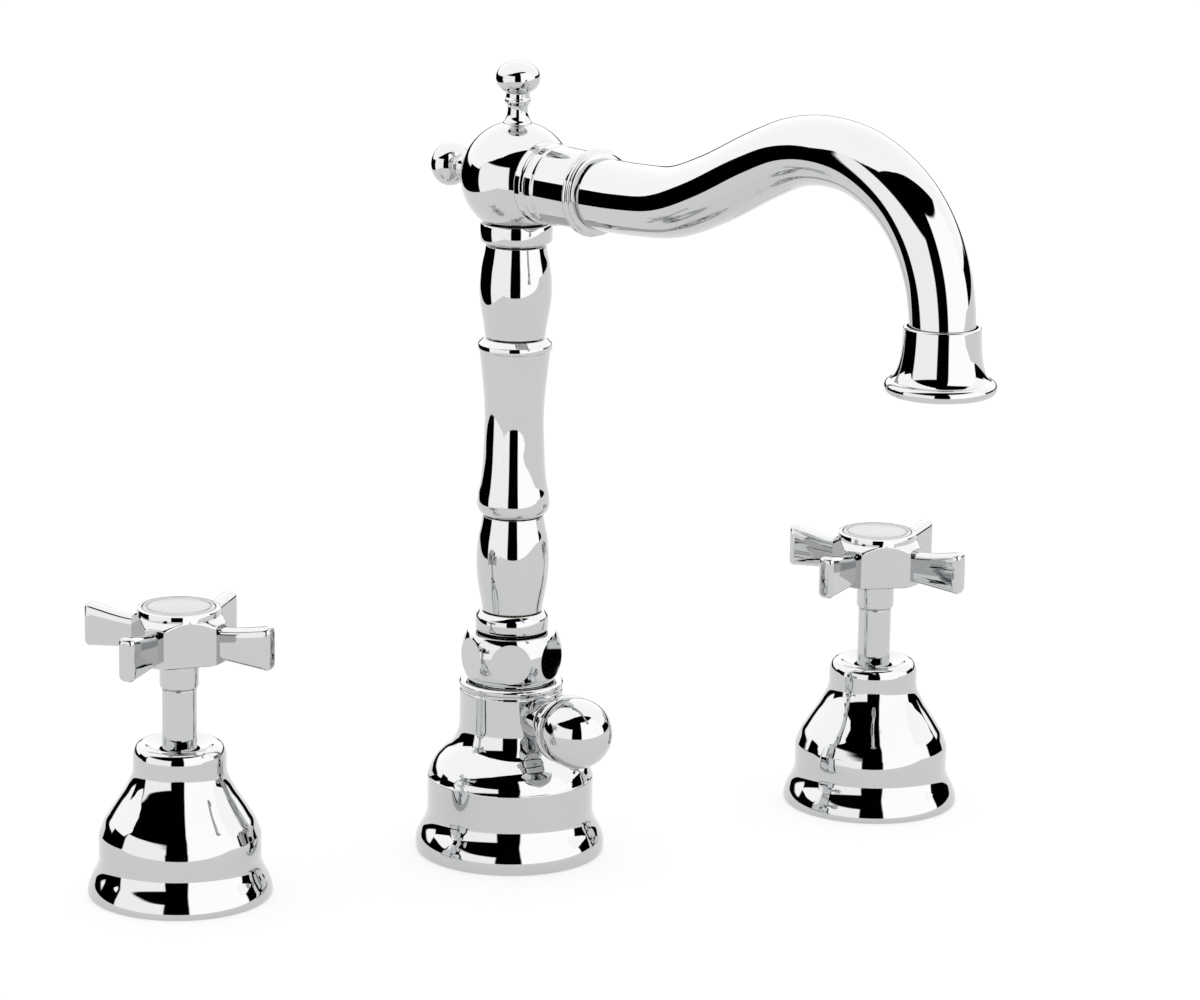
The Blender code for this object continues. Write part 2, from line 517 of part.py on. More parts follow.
# ---- the whole mixer ----

def build():
    for thing in list(bpy.data.objects):
        bpy.data.objects.remove(thing, do_unlink=True)
    chrome = finish("chrome", (0.80, 0.81, 0.82), 1.0, 0.06)
    brass = finish("brass", (0.72, 0.55, 0.28), 1.0, 0.28)
    steel = finish("stainless_steel", (0.62, 0.62, 0.61), 1.0, 0.32)
    ceramic = finish("ceramic", (0.88, 0.87, 0.84), 0.0, 0.18)
    enamel = finish("enamel", (0.93, 0.93, 0.91), 0.0, 0.10)
    rubber = finish("rubber", (0.03, 0.03, 0.03), 0.0, 0.70)
    nylon = finish("nylon", (0.78, 0.77, 0.72), 0.0, 0.45)

    for side, x, inward, first_arm in (("hot", HOT_X, 1, HOT_ARM), ("cold", COLD_X, -1, COLD_ARM)):
        valve_bell(side, x, chrome)
        valve_works(side, x, inward, brass, steel, ceramic, rubber)
        turns = empty(side + "_handle_turns", at=(x, 0, 0))
        valve_turning(side, first_arm, turns, chrome, brass, steel, ceramic, rubber, enamel)

    spout_base(chrome)
    swivel_nut(chrome)
    spout_fixings(chrome, brass, steel, nylon, rubber)
    waste_control(chrome, brass)

    spout_turns = empty("spout_turns", tilt=(0, 0, SPOUT_AT_REST))
    column(spout_turns, chrome, nylon, rubber)
    hub(spout_turns, chrome)
    finial("top_finial", HUB_RADIUS - 1.4, spout_turns, chrome, (0, 0, HUB_Z), (0, 0, 0))
    finial("back_finial", HUB_RADIUS - 1.4, spout_turns, chrome, (0, 0, HUB_Z), (0, -90, 0))
    spout(spout_turns, chrome, rubber)


build()
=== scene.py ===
# Three-hole basin mixer in polished chrome: two cross-handle valves, a turned
# column with a swan-neck spout, and the round knob of its pop-up waste.
# Lengths are in millimetres until they reach a mesh; the deck is z = 0.

import json
from math import atan2, cos, pi, radians, sin, sqrt

import bmesh
import bpy
from mathutils import Matrix, Vector


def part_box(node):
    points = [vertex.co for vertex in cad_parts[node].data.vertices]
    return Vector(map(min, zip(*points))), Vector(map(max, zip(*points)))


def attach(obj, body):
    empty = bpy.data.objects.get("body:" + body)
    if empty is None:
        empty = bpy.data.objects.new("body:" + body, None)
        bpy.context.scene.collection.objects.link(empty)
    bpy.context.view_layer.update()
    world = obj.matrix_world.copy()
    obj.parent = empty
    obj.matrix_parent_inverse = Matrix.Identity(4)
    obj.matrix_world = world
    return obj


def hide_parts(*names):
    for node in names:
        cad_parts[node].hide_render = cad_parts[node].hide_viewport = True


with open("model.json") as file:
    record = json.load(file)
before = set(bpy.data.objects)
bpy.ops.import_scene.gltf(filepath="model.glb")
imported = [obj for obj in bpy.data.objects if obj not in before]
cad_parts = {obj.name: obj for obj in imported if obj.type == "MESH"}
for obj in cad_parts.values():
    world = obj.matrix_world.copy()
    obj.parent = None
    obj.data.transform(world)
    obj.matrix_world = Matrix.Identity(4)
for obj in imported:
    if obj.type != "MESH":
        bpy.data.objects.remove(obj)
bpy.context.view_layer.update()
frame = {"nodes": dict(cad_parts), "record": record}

mm = 0.001


def middleOf(node):  # centre of a CAD node's box, in millimetres
    low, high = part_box(node)
    return [(a + b) / 2 / mm for a, b in zip(low, high)]


# Shader arithmetic

class Socket:  # an output of a node, which takes part in plain arithmetic
    def __init__(self, tree, output=None):
        self.tree = tree
        self.output = output

    def node(self, kind, settings=None, inputs=None, output=0):
        made = self.tree.nodes.new(kind)
        for name, value in (settings or {}).items():
            setattr(made, name, value)
        for name, value in (inputs or {}).items():
            if isinstance(value, Socket):
                self.tree.links.new(value.output, made.inputs[name])
            else:
                made.inputs[name].default_value = value
        return Socket(self.tree, made.outputs[output] if len(made.outputs) else None)

    def maths(self, operation, *values):
        return self.node("ShaderNodeMath", {"operation": operation}, dict(enumerate(values)))

    def __add__(self, other):
        return self.maths("ADD", self, other)

    def __sub__(self, other):
        return self.maths("SUBTRACT", self, other)

    def __rsub__(self, other):
        return self.maths("SUBTRACT", other, self)

    def __mul__(self, other):
        return self.maths("MULTIPLY", self, other)

    __radd__ = __add__
    __rmul__ = __mul__

    def part(self, axis):  # one of x, y and z of a vector
        return self.node("ShaderNodeSeparateXYZ", inputs={0: self}, output="XYZ".index(axis))

    def dot(self, vector):
        return self.node("ShaderNodeVectorMath", {"operation": "DOT_PRODUCT"}, {0: self, 1: vector}, 1)

    def scaled(self, vector):
        return self.node("ShaderNodeVectorMath", {"operation": "MULTIPLY"}, {0: self, 1: vector})

    def above(self, at, soft):  # 0 below at, 1 above it, with a soft edge
        return self.node("ShaderNodeMapRange", {"interpolation_type": "SMOOTHSTEP"},
                         {0: self, 1: at - soft, 2: at + soft, 3: 0.0, 4: 1.0})

    def between(self, low, high):  # 0 to 1 turned into low to high
        return self.node("ShaderNodeMapRange", inputs={0: self, 3: low, 4: high})

    def noise(self, scale, detail, rough=0.5):
        return self.node("ShaderNodeTexNoise", inputs={"Vector": self, "Scale": scale, "Detail": detail,
                                                       "Roughness": rough})

    def tint(self, first, second):  # a colour from first to second as this goes from 0 to 1
        return self.node("ShaderNodeMix", {"data_type": "RGBA"},
                         {"Factor": self, 6: (*first, 1), 7: (*second, 1)}, 2)


# Finishes

def newFinish(name, **constants):  # a material, its shader and its object coordinates
    material = bpy.data.materials.new(name)
    material.use_nodes = True
    shader = material.node_tree.nodes["Principled BSDF"]
    for label, value in constants.items():
        shader.inputs[label.replace("_", " ")].default_value = value
    where = Socket(material.node_tree).node("ShaderNodeTexCoord", output=3)
    return material, shader, where


def feed(shader, label, source):
    source.tree.links.new(source.output, shader.inputs[label])


def bumped(shader, height, strength, distance):
    bump = height.node("ShaderNodeBump", inputs={"Strength": strength, "Distance": distance * mm,
                                                 "Height": height})
    feed(shader, "Normal", bump)


def polishedChrome(look):
    material, shader, where = newFinish("polished_chrome", Metallic=1.0)
    cloud = where.noise(look["cloudScale"], 3.0)
    polish = where.scaled(look["polishStretch"]).noise(look["polishScale"], 4.0, 0.65)
    cloudShare, polishShare = look["roughMix"]
    feed(shader, "Base Color", cloud.tint(look["dark"], look["light"]))
    feed(shader, "Roughness", (cloud * cloudShare + polish * polishShare).between(*look["roughness"]))
    bumped(shader, cloud + polish * look["polishBump"], look["ripple"], look["rippleDepth"])
    return material


def turnedBrass(look):
    material, shader, where = newFinish("turned_brass", Metallic=1.0)
    cloud = where.noise(look["cloudScale"], 4.0)
    rings = where.scaled(look["ringStretch"]).noise(look["ringScale"], 2.0, 0.7)
    cloudTint, ringTint = look["tintMix"]
    cloudShare, ringShare = look["roughMix"]
    feed(shader, "Base Color", (cloud * cloudTint + rings * ringTint).tint(look["dark"], look["light"]))
    feed(shader, "Roughness", (cloud * cloudShare + rings * ringShare).between(*look["roughness"]))
    bumped(shader, rings, look["ringStrength"], look["ringDepth"])
    return material


def rolledSteel(look):
    material, shader, where = newFinish("stainless_steel", Metallic=1.0)
    grain = where.scaled(look["grainStretch"]).noise(look["grainScale"], 3.0, 0.7)
    feed(shader, "Base Color", grain.tint(look["dark"], look["light"]))
    feed(shader, "Roughness", grain.between(*look["roughness"]))
    bumped(shader, grain, look["grainStrength"], look["grainDepth"])
    return material


def glazed(name, look):  # a smooth hard white: ceramic discs and enamel caps
    material, shader, where = newFinish(name)
    cloud = where.noise(look["cloudScale"], 3.0)
    feed(shader, "Base Color", cloud.tint(look["dark"], look["light"]))
    feed(shader, "Roughness", cloud.between(*look["roughness"]))
    bumped(shader, cloud, look["wave"], look["waveDepth"])
    return material


def mouldedPlastic(name, look):  # rubber washers and nylon bushes
    material, shader, where = newFinish(name)
    grain = where.noise(look["grainScale"], 5.0, 0.6)
    feed(shader, "Base Color", grain.tint(look["dark"], look["light"]))
    feed(shader, "Roughness", grain.between(*look["roughness"]))
    bumped(shader, grain, look["grainStrength"], look["grainDepth"])
    return material


finishes = {  # depths in millimetres
    "chrome": polishedChrome({
        "dark": (0.535, 0.542, 0.548), "light": (0.565, 0.572, 0.578), "roughness": (0.010, 0.045),
        "cloudScale": 28.0, "polishScale": 900.0, "polishStretch": (1, 1, 0.35), "polishBump": 0.15,
        "roughMix": (0.5, 0.5), "ripple": 0.05, "rippleDepth": 0.10}),
    "brass": turnedBrass({
        "dark": (0.50, 0.34, 0.13), "light": (0.80, 0.60, 0.30), "roughness": (0.16, 0.38),
        "cloudScale": 90.0, "ringScale": 2600.0, "ringStretch": (0.02, 0.02, 1),
        "tintMix": (0.7, 0.3), "roughMix": (0.4, 0.6), "ringStrength": 0.35, "ringDepth": 0.05}),
    "stainless_steel": rolledSteel({
        "dark": (0.50, 0.50, 0.49), "light": (0.66, 0.66, 0.65), "roughness": (0.20, 0.42),
        "grainScale": 1200.0, "grainStretch": (0.04, 1, 1), "grainStrength": 0.3, "grainDepth": 0.03}),
    "ceramic": glazed("lapped_ceramic", {
        "dark": (0.80, 0.78, 0.74), "light": (0.90, 0.89, 0.86), "roughness": (0.12, 0.24),
        "cloudScale": 300.0, "wave": 0.05, "waveDepth": 0.05}),
    "enamel": glazed("white_enamel", {
        "dark": (0.60, 0.60, 0.59), "light": (0.65, 0.65, 0.64), "roughness": (0.20, 0.32),
        "cloudScale": 220.0, "wave": 0.10, "waveDepth": 0.05}),
    "rubber": mouldedPlastic("black_rubber", {
        "dark": (0.012, 0.012, 0.012), "light": (0.035, 0.035, 0.034), "roughness": (0.55, 0.80),
        "grainScale": 1400.0, "grainStrength": 0.4, "grainDepth": 0.08}),
    "nylon": mouldedPlastic("milky_nylon", {
        "dark": (0.66, 0.65, 0.60), "light": (0.80, 0.79, 0.74), "roughness": (0.35, 0.55),
        "grainScale": 900.0, "grainStrength": 0.2, "grainDepth": 0.08}),
}
print("finishes:", len(finishes))


# Outlines, as lists of (radius, height)

def arc(radiusAt, heightAt, radius, start, end, count, tall=1.0):
    turns = [radians(start + (end - start) * i / count) for i in range(count + 1)]
    return [(radiusAt + radius * cos(a), heightAt + radius * tall * sin(a)) for a in turns]


def flowing(points, spans=6):  # a smooth curve through the points, even where they are unevenly spaced
    def knot(t, p, q):
        return t + sqrt(sqrt(sum((b - a) ** 2 for a, b in zip(p, q))))

    def mix(p, q, tp, tq, t):
        return tuple((a * (tq - t) + b * (t - tp)) / (tq - tp) for a, b in zip(p, q))

    first = tuple(2 * a - b for a, b in zip(points[0], points[1]))
    last = tuple(2 * a - b for a, b in zip(points[-1], points[-2]))
    ends = [first] + list(points) + [last]
    curve = []
    for p0, p1, p2, p3 in zip(ends, ends[1:], ends[2:], ends[3:]):
        t0 = 0.0
        t1 = knot(t0, p0, p1)
        t2 = knot(t1, p1, p2)
        t3 = knot(t2, p2, p3)
        for i in range(spans):
            t = t1 + (t2 - t1) * i / spans
            a, b, c = mix(p0, p1, t0, t1, t), mix(p1, p2, t1, t2, t), mix(p2, p3, t2, t3, t)
            curve.append(mix(mix(a, b, t0, t2, t), mix(b, c, t1, t3, t), t1, t2, t))
    return curve + [tuple(points[-1])]


easing = {
    "share": 0.4, "steps": 4,  # the most of a side that one corner takes, and the steps round it
    "long": 4, "guard": 0.8,  # a side of so many corner lengths gets a point so far beyond the corner
}


def eased(outline, soft, bluntest=24):  # round edges where the outline turns by more than bluntest degrees
    made = []
    count = len(outline)
    for i, here in enumerate(outline):
        if i in (0, count - 1) and here[0] == 0:
            made.append(here)
            continue
        here = Vector(here)
        back, ahead = Vector(outline[i - 1]) - here, Vector(outline[(i + 1) % count]) - here
        turn = pi - back.angle(ahead, pi)
        if turn < radians(bluntest):
            made.append(tuple(here))
            continue
        reach = min(soft, back.length * easing["share"], ahead.length * easing["share"])
        start, end = here + back.normalized() * reach, here + ahead.normalized() * reach
        if back.length > reach * easing["long"]:
            made.append(tuple(start + back.normalized() * reach * easing["guard"]))
        for step in range(easing["steps"] + 1):
            t = step / easing["steps"]
            made.append(tuple(start * (1 - t) ** 2 + here * 2 * t * (1 - t) + end * t ** 2))
        if ahead.length > reach * easing["long"]:
            made.append(tuple(end + ahead.normalized() * reach * easing["guard"]))
    return made


# Mesh building

weld = 1e-7  # metres between points that are one point


def placed(name, bm, body, slot, replaces=(), where=Matrix.Identity(4), sharp=35):
    bmesh.ops.remove_doubles(bm, verts=bm.verts, dist=weld)
    bmesh.ops.recalc_face_normals(bm, faces=bm.faces)
    mesh = bpy.data.meshes.new(name)
    bm.to_mesh(mesh)
    bm.free()
    mesh.materials.append(finishes[slot])
    mesh.shade_smooth()
    mesh.set_sharp_from_angle(angle=radians(sharp))
    piece = bpy.data.objects.new(name, mesh)
    bpy.context.scene.collection.objects.link(piece)
    piece.matrix_world = where
    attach(piece, body)
    if replaces:
        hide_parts(*replaces)
    return piece


def spun(outline, steps):  # an outline turned about Z; it is closed unless both ends are on the axis
    bm = bmesh.new()
    verts = [bm.verts.new((r * mm, 0, z * mm)) for r, z in outline]
    edges = [bm.edges.new(pair) for pair in zip(verts, verts[1:])]
    if outline[0][0] > 0 or outline[-1][0] > 0:
        edges.append(bm.edges.new((verts[-1], verts[0])))
    bmesh.ops.spin(bm, geom=verts + edges, cent=(0, 0, 0), axis=(0, 0, 1), angle=2 * pi, steps=steps,
                   use_merge=True)
    return bm


def lofted(layers, loop=False):  # rings of points in millimetres, bridged and closed at both ends
    bm = bmesh.new()
    rings = [[bm.verts.new(Vector(p) * mm) for p in layer] for layer in layers]
    pairs = list(zip(rings, rings[1:])) + ([(rings[-1], rings[0])] if loop else [])
    for low, high in pairs:
        for i in range(len(low)):
            j = (i + 1) % len(low)
            bm.faces.new((low[i], low[j], high[j], high[i]))
    if not loop:
        bm.faces.new(rings[0])
        bm.faces.new(rings[-1])
    return bm


def joined(*parts):  # several meshes in one
    whole = bmesh.new()
    for part in parts:
        mesh = bpy.data.meshes.new("part")
        part.to_mesh(mesh)
        part.free()
        whole.from_mesh(mesh)
        bpy.data.meshes.remove(mesh)
    return whole


def at(x=0.0, y=0.0, z=0.0, turn=0.0, lean=0.0):  # turned about Z, then its Z axis leant towards +X
    return (Matrix.Translation(Vector((x, y, z)) * mm) @ Matrix.Rotation(radians(turn), 4, "Z")
            @ Matrix.Rotation(radians(lean), 4, "Y"))


# Side valves

valveBell = {
    "foot": [(22.6, 0.0), (23.2, 0.25), (23.42, 0.9), (23.32, 2.0), (22.9, 3.5), (22.15, 5.2), (21.3, 6.9),
             (20.8, 8.2), (20.55, 9.4), (20.5, 10.4)],
    "waist": [(20.5, 16.2)],
    "shoulder": [(20.4, 16.45), (19.8, 17.9), (19.0, 19.7), (18.0, 21.3), (16.9, 23.0), (15.65, 24.9),
                 (14.45, 26.8), (13.4, 28.7), (12.55, 30.4), (12.0, 31.9), (11.8, 33.3)],
    "neck": [(11.8, 36.6), (11.55, 37.9), (10.8, 39.1), (9.5, 39.7)],
    "dish": [(9.1, 39.7), (8.4, 39.4), (6.4, 38.4), (5.1, 38.1)],
    "inside": [(5.1, 37.2), (9.6, 36.4), (9.8, 30.5), (17.6, 16.0), (17.6, 0.0)],
}
valveStem = [(3.5, 37.0), (4.4, 37.0), (4.4, 53.9), (3.9, 54.15), (4.95, 54.5), (5.0, 55.0), (5.0, 61.45),
             (3.5, 61.45)]
indexCap = {
    "rim": [(0, 73.75), (9.2, 73.75), (9.2, 74.85), (8.95, 75.1), (8.35, 75.15)],
    "groove": [(8.2, 74.75), (7.9, 74.75), (7.75, 75.2)],
    "face": [(7.0, 75.34), (4.0, 75.52), (0, 75.58)],
}


def bellOutline(look):
    return eased(flowing(look["foot"], 4) + look["waist"] + flowing(look["shoulder"], 4)
                 + flowing(look["neck"], 4) + look["dish"] + look["inside"], 0.2, 30)


crossHandle = {
    "flat": 10.5, "corner": 12.2, "cornerEdge": 0.05,  # how far the block's flats and blunt corners reach
    "foot": 61.7, "footEdge": 0.25, "footInset": 0.5, "straightTop": 71.0, "chamfer": (71.6, 73.2),
    "rim": 10.5, "rimTop": 74.95,
    "rimEdge": [(0.5, 0.0), (0.14, 0.12), (0.0, 0.45)],  # (down, inward)
    "well": [(9.45, 74.95), (9.4, 73.6)],
    "firstArm": {"hot": 39.0, "cold": 29.5}, "tip": 26.6, "thick": (3.0, 4.4),
    "armTop": [(6.0, 71.0), (13.5, 71.2), (18.0, 71.7), (22.5, 72.5), (26.6, 73.2)],
    "armFoot": [(6.0, 63.0), (13.5, 62.85), (18.0, 62.5), (22.5, 62.1), (26.6, 61.8)],
    "armEdge": 1.5, "leastEdge": 0.3,
    "tipEdge": 1.2, "tipHeights": (73.05, 61.8), "tipTurns": (0, 22, 45, 65, 80, 90),
}


def handleHub(look):  # a block with blunt corners, cut by a cone under its round rim
    flat, corner = look["flat"], look["corner"]
    flatSteps, cornerSteps, coneSteps = 8, 3, 10
    edge = atan2(corner * sqrt(2) - flat, flat)
    low, high = look["chamfer"]
    quarter = [(i * edge / flatSteps, flat / cos(i * edge / flatSteps)) for i in range(flatSteps + 1)]
    side = pi / 4 - edge
    quarter += [(edge + i * side / cornerSteps, corner / cos(side - i * side / cornerSteps))
                for i in range(1, cornerSteps + 1)]
    quarter += [(pi / 2 - turn, reach) for turn, reach in reversed(quarter[1:-1])]
    around = [(turn + k * pi / 2, reach) for k in range(4) for turn, reach in quarter]
    widest = corner / cos(side) + look["cornerEdge"]
    rows = [(look["foot"], widest - look["footInset"], look["footEdge"]),  # (height, widest, inset)
            (look["foot"] + look["footEdge"], widest, 0.0), (look["straightTop"], widest, 0.0)]
    rows += [(low + (high - low) * i / coneSteps, widest + (look["rim"] - widest) * i / coneSteps, 0.0)
             for i in range(coneSteps + 1)]
    rows += [(look["rimTop"] - down, look["rim"] - inward, 0.0) for down, inward in look["rimEdge"]]
    rows += [(z, r, 0.0) for r, z in look["well"]]
    return lofted([[(min(reach - less, limit) * cos(turn), min(reach - less, limit) * sin(turn), z)
                    for turn, reach in around] for z, limit, less in rows])


def handleArm(look, turn):  # one flat arm, deeper towards its rounded tip
    top, foot = flowing(look["armTop"], 4), flowing(look["armFoot"], 4)
    root, tip = look["thick"]
    soft = look["tipEdge"]
    last = look["tip"] - soft
    stations = [(r, high, low, 0.0) for (r, high), (_, low) in zip(top, foot) if r < last]
    stations += [(last + soft * sin(radians(a)), *look["tipHeights"], soft * (1 - cos(radians(a))))
                 for a in look["tipTurns"]]
    layers = []
    for reach, high, low, inset in stations:
        ring = []
        half = (root + (tip - root) * reach / look["tip"]) / 2
        radius = min(max(look["armEdge"] - inset / 2, look["leastEdge"]), half - inset)
        for across, up, start in ((1, 1, 0), (-1, 1, 90), (-1, -1, 180), (1, -1, 270)):
            for a in range(start, start + 91, 18):
                y = across * (half - inset - radius) + radius * cos(radians(a))
                z = (high - inset - radius if up > 0 else low + inset + radius) + radius * sin(radians(a))
                ring.append((reach, y, z))
        layers.append(ring)
    bm = lofted(layers)
    bmesh.ops.rotate(bm, verts=bm.verts, matrix=Matrix.Rotation(radians(turn), 3, "Z"))
    return bm


def sideValve(side):
    x = middleOf(side + "_bell")[0]
    body = side + "_handle"
    placed(side + "_bell_cover", spun(bellOutline(valveBell), 112), "stand", "chrome",
           [side + "_bell"], at(x))
    placed(side + "_stem", spun(eased(valveStem, 0.25), 72), body, "chrome", [side + "_stem_sleeve"], at(x))
    arms = [handleArm(crossHandle, 45 + 90 * k) for k in range(4)]  # out of the block's blunt corners
    placed(side + "_cross", joined(handleHub(crossHandle), *arms), body, "chrome", [side + "_cross_handle"],
           at(x, turn=crossHandle["firstArm"][side] + 45))
    disc = eased(indexCap["rim"] + indexCap["groove"] + flowing(indexCap["face"], 4), 0.06)
    placed(side + "_cap", spun(disc, 96), body, "enamel", [side + "_index_cap"], at(x))


for side in ("hot", "cold"):
    sideValve(side)
print("side valves built")


# The spout's stand

spoutBase = {
    "foot": [(23.8, 0.0), (24.4, 0.35), (24.62, 1.2), (24.65, 2.6), (24.35, 4.3), (23.5, 6.2), (22.5, 8.0),
             (21.9, 9.6), (21.65, 10.9), (21.6, 12.0)],
    "waist": [(21.6, 20.4), (21.35, 20.7)],
    "shoulder": [(21.1, 22.0), (20.3, 23.6), (19.15, 25.2), (17.5, 26.8), (15.7, 28.4), (14.6, 30.1),
                 (13.95, 31.8), (13.5, 33.5), (13.4, 35.0)],
    "neck": [(13.4, 43.6), (13.15, 43.9), (13.15, 44.4), (13.55, 44.9), (13.55, 45.6), (13.0, 46.2)],
    "dish": [(10.6, 46.2), (10.6, 52.4), (8.9, 52.4), (8.9, 45.9)],
    "inside": [(4.7, 45.9), (4.7, 44.7), (10.7, 44.7), (10.7, 30.0), (18.4, 20.0), (18.4, 0.0)],
    "boss": [(9.0, 4.1), (18.6, 4.1), (18.6, 5.3), (9.0, 5.3)],  # (distance out, radius)
}
waste = {
    "turn": -82.0, "height": 39.0, "reach": 30.8, "radius": 9.1,  # the ball's centre and radius
    "gland": [(2.95, 11.4), (3.8, 11.4), (3.8, 18.9), (5.1, 18.9), (5.1, 21.3), (4.5, 22.0), (2.95, 22.0)],
    "neck": [(0, 23.6), (2.6, 23.6), (2.6, 22.5), (4.6, 22.5), (7.5, 24.4), (8.9, 25.0), (9.05, 25.8),
             (8.8, 26.5), (6.2, 27.0)],
    "ballStart": -52,
}


def spoutStand(look):
    outline = eased(flowing(look["foot"], 4) + look["waist"] + flowing(look["shoulder"], 4) + look["neck"]
                    + look["dish"] + look["inside"], 0.2, 30)
    boss = spun(eased([(r, out) for out, r in look["boss"]], 0.3), 72)
    turned = at(z=waste["height"], turn=waste["turn"], lean=90)
    bmesh.ops.transform(boss, matrix=turned, verts=boss.verts)
    placed("base_cover", joined(spun(outline, 120), boss), "stand", "chrome", ["spout_base"])


nut = {
    "centre": 53.0, "radius": 13.1, "flat": 12.0, "firstFlat": 4.0, "halfAngle": 28.5,
    "bore": 9.0, "step": 53.5, "wideBore": 10.95,
    "bevel": 0.22, "sharp": 12,
}


def barrelNut(look):  # six round flats cut on a slice of a ball
    half = look["halfAngle"]
    side = arc(0, look["centre"], look["radius"], -half, half, 22)
    top, foot = side[-1][1], side[0][1]
    inside = [(look["bore"], top), (look["bore"], look["step"]), (look["wideBore"], look["step"]),
              (look["wideBore"], foot)]
    bm = spun(eased(side + inside, 0.15), 144)
    for number in range(6):
        turn = radians(60 * number + look["firstFlat"])
        out = Vector((cos(turn), sin(turn), 0))
        cut = bmesh.ops.bisect_plane(bm, geom=bm.verts[:] + bm.edges[:] + bm.faces[:],
                                     plane_co=out * look["flat"] * mm, plane_no=out, clear_outer=True)
        rim = [e for e in cut["geom_cut"] if isinstance(e, bmesh.types.BMEdge)]
        bmesh.ops.edgeloop_fill(bm, edges=rim)
    return bm


spoutStand(spoutBase)
nutPiece = placed("union_nut", barrelNut(nut), "stand", "chrome", ["swivel_nut"],
                  sharp=nut["sharp"])
nutEdge = nutPiece.modifiers.new("nut edge", "BEVEL")
nutEdge.width = nut["bevel"] * mm
nutEdge.segments = 3
nutEdge.limit_method = "ANGLE"
nutEdge.angle_limit = radians(nut["sharp"])
print("spout stand built")


# Waste knob

def wasteKnob(look):
    turned = at(z=look["height"], turn=look["turn"], lean=90)
    placed("knob_collar", spun(eased(look["gland"], 0.3), 72), "stand", "chrome", ["knob_gland"], turned)
    ball = arc(0, look["reach"], look["radius"], look["ballStart"], 90, 40)
    ball[-1] = (0, look["reach"] + look["radius"])
    placed("knob", spun(eased(look["neck"] + ball, 0.25, 30), 112), "waste_knob", "chrome", ["waste_knob"],
           turned)


wasteKnob(waste)
print("waste knob built")


# Turning column

column = {
    "foot": [(6.9, 50.0), (8.55, 50.0), (8.55, 53.1), (7.5, 53.1), (7.5, 59.7), (9.3, 59.7), (9.45, 60.1),
             (9.45, 63.0), (9.25, 63.5), (8.3, 64.6), (6.9, 64.6)],
    "lowerBaluster": [(7.75, 64.9), (7.95, 66.2), (8.5, 69.2), (9.15, 73.3), (9.42, 78.0), (9.05, 83.4),
                      (8.4, 86.8), (7.85, 90.0)],
    "waist": [(7.9, 90.3), (8.6, 90.9), (9.12, 91.8), (9.38, 93.2), (9.15, 95.6), (8.65, 98.0), (8.12, 102.6),
              (7.83, 108.3), (7.62, 114.6), (7.8, 120.0), (8.08, 123.4), (8.55, 128.0), (9.02, 132.2),
              (9.12, 133.3)],
    "waistRing": [(9.5, 133.5), (9.6, 134.3), (9.45, 135.1), (8.0, 136.5)],
    "upperBaluster": [(7.72, 136.9), (8.0, 138.9), (8.5, 142.0), (9.05, 145.4), (9.29, 149.0), (9.1, 152.4),
                      (8.75, 155.2), (8.2, 157.8), (7.72, 160.5)],
    "collar": [(4.9, 160.9), (7.9, 160.9), (9.1, 161.6), (9.27, 162.2), (9.27, 165.4), (9.0, 166.3),
               (4.9, 166.6)],
    "lowerBore": [(6.75, 90.0), (6.75, 64.9)],
    "waistBore": [(4.9, 136.5), (4.9, 90.3)],
    "upperBore": [(4.9, 160.5), (4.9, 136.9)],
}
spoutTurn = -73.0
spoutFrame = at(turn=spoutTurn)


def columnPiece(name, outline, node):
    placed(name, spun(outline, 96), "spout", "chrome", [node], spoutFrame)


def turnedColumn(look):
    columnPiece("foot_collar", eased(look["foot"], 0.2), "column_foot")
    columnPiece("lower_bulb", eased(flowing(look["lowerBaluster"]) + look["lowerBore"], 0.2),
                "lower_baluster")
    columnPiece("waisted_stem", eased(flowing(look["waist"]) + look["waistRing"] + look["waistBore"],
                                      0.18, 30), "waisted_column")
    columnPiece("upper_bulb", eased(flowing(look["upperBaluster"]) + look["upperBore"], 0.2),
                "upper_baluster")
    columnPiece("neck_collar", eased(look["collar"], 0.25), "top_collar")


turnedColumn(column)
print("column built")


# Hub, finials and spout

hub = {
    "height": 177.9, "radius": 14.3, "footAngle": -50.0,
    "finialPost": [(0, 10.6), (1.6, 10.6), (1.6, 13.2), (3.75, 13.2)],
    "finialStem": [(3.75, 13.6), (3.6, 14.1), (3.1, 14.9), (2.65, 16.2), (2.55, 17.4), (2.75, 18.4),
                   (3.05, 18.9)],
    "finialBead": [(3.35, 19.4), (3.35, 19.9), (3.0, 20.4)],
    "headCentre": 25.3, "headRadius": 5.65, "headTall": 0.78, "headStart": -58,
}


def finialOutline(look):
    head = arc(0, look["headCentre"], look["headRadius"], look["headStart"], 90, 30, look["headTall"])
    head[-1] = (0, head[-1][1])
    return look["finialPost"] + flowing(look["finialStem"], 4) + look["finialBead"] + head


def hubAndFinials(look):
    ball = arc(0, look["height"], look["radius"], look["footAngle"], 90, 56)
    ball[-1] = (0, look["height"] + look["radius"])
    low = ball[0][1]
    placed("hub", spun(eased([(0, low)] + ball, 0.2, 30), 128), "spout", "chrome", ["hub_ball"], spoutFrame)
    for name, lean in (("top_finial", 0), ("back_finial", -90)):
        placed(name + "_knob", spun(eased(finialOutline(look), 0.15, 30), 72), "spout", "chrome", [name],
               spoutFrame @ at(z=look["height"], lean=lean))


